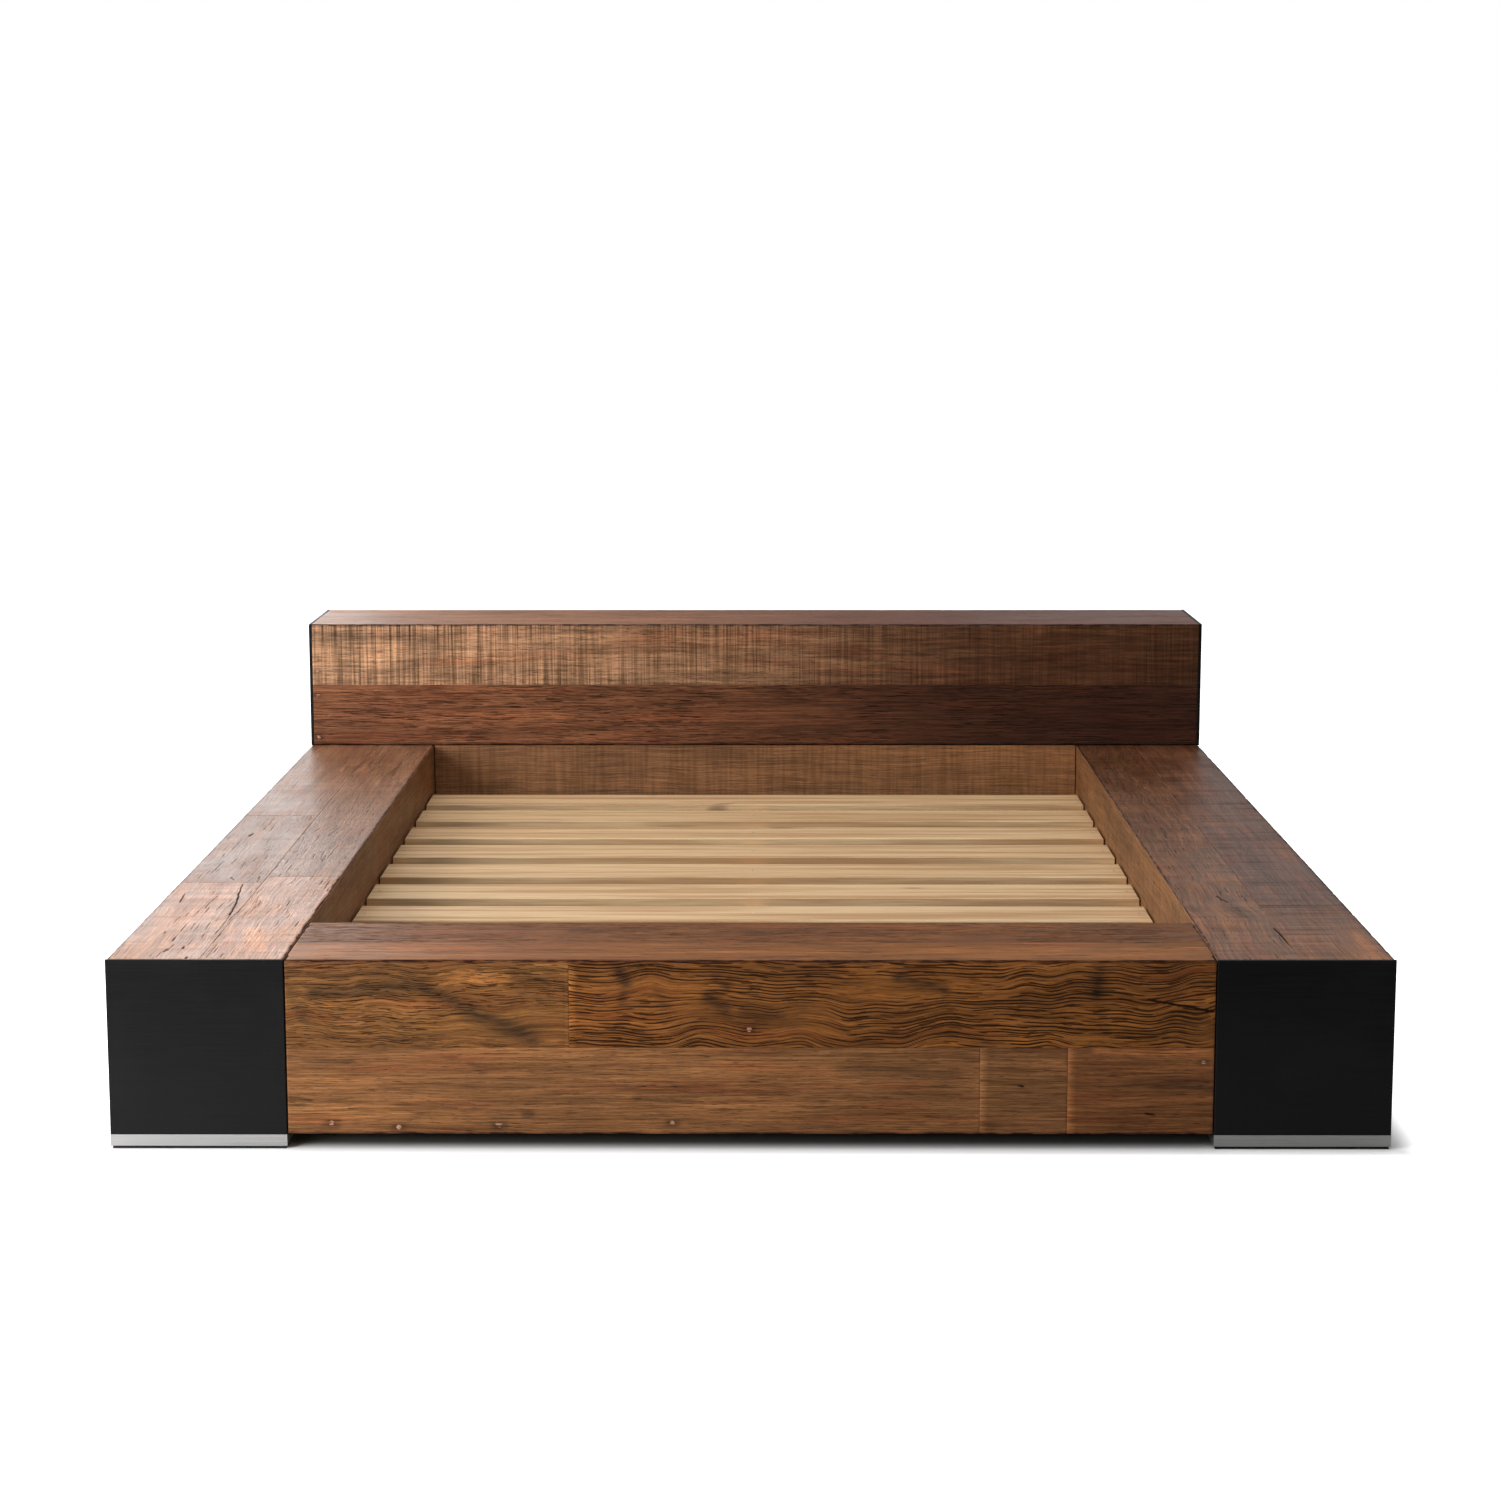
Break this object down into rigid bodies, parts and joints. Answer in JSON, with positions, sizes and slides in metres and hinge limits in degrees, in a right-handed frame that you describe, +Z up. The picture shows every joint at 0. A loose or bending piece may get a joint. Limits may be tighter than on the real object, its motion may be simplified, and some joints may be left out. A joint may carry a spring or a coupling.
{
  "type": "bed frame",
  "caption": "Low platform bed frame of hollow reclaimed-wood box beams with black end caps, steel plinths, a slatted mattress well and a headboard beam.",
  "frame": {"origin": "on the floor under the middle of the bed frame's box", "axes": "+X to the right of somebody at the foot who faces the headboard, +Y towards the headboard, +Z up"},
  "size_m": [2.2, 2.689, 0.6349],
  "materials": {
    "reclaimed_wood": "reclaimed hardwood boards, satin oil over old saw marks and cracks",
    "plywood": "bare plywood, matte",
    "slat_wood": "planed pine, matte",
    "black_lacquer": "black lacquer over a panel, satin",
    "stainless_steel": "brushed along its length, satin",
    "rubber": "matte black",
    "black_steel": "black powder coat, fine texture"
  },
  "bodies": {
    "root": {"centre_beam": "slat_wood", "centre_leg_front": "black_steel", "centre_leg_rear": "black_steel", "corner_bracket_front_left": "black_steel", "corner_bracket_front_right": "black_steel", "corner_bracket_rear_left": "black_steel", "corner_bracket_rear_right": "black_steel", "front_rail_bottom_panel": "plywood", "front_rail_face_lower_left_board": "reclaimed_wood", "front_rail_face_lower_middle_board": "reclaimed_wood", "front_rail_face_lower_right_board": "reclaimed_wood", "front_rail_face_upper_left_board": "reclaimed_wood", "front_rail_face_upper_right_board": "reclaimed_wood", "front_rail_inner_board": "reclaimed_wood", "front_rail_top_front_board": "reclaimed_wood", "front_rail_top_rear_board": "reclaimed_wood", "headboard_back_board": "reclaimed_wood", "headboard_bottom_panel": "plywood", "headboard_face_lower_board": "reclaimed_wood", "headboard_face_upper_board": "reclaimed_wood", "headboard_left_cap": "black_lacquer", "headboard_right_cap": "black_lacquer", "headboard_top_front_board": "reclaimed_wood", "headboard_top_rear_board": "reclaimed_wood", "left_beam_bottom_panel": "plywood", "left_beam_front_cap": "black_lacquer", "left_beam_inner_board": "reclaimed_wood", "left_beam_rear_cap": "black_lacquer", "left_beam_side_lower_board": "reclaimed_wood", "left_beam_side_upper_board": "reclaimed_wood", "left_beam_top_inner_front_board": "reclaimed_wood", "left_beam_top_inner_rear_board": "reclaimed_wood", "left_beam_top_outer_front_board": "reclaimed_wood", "left_beam_top_outer_rear_board": "reclaimed_wood", "left_ledger": "slat_wood", "left_plinth": "stainless_steel", "left_plinth_pad": "rubber", "rear_rail_back_board": "reclaimed_wood", "rear_rail_inner_board": "reclaimed_wood", "right_beam_bottom_panel": "plywood", "right_beam_front_cap": "black_lacquer", "right_beam_inner_board": "reclaimed_wood", "right_beam_rear_cap": "black_lacquer", "right_beam_side_lower_board": "reclaimed_wood", "right_beam_side_upper_board": "reclaimed_wood", "right_beam_top_inner_board": "reclaimed_wood", "right_beam_top_outer_front_board": "reclaimed_wood", "right_beam_top_outer_rear_board": "reclaimed_wood", "right_ledger": "slat_wood", "right_plinth": "stainless_steel", "right_plinth_pad": "rubber", "slat_01": "slat_wood", "slat_02": "slat_wood", "slat_03": "slat_wood", "slat_04": "slat_wood", "slat_05": "slat_wood", "slat_06": "slat_wood", "slat_07": "slat_wood", "slat_08": "slat_wood", "slat_09": "slat_wood"}
  },
  "joints": []
}
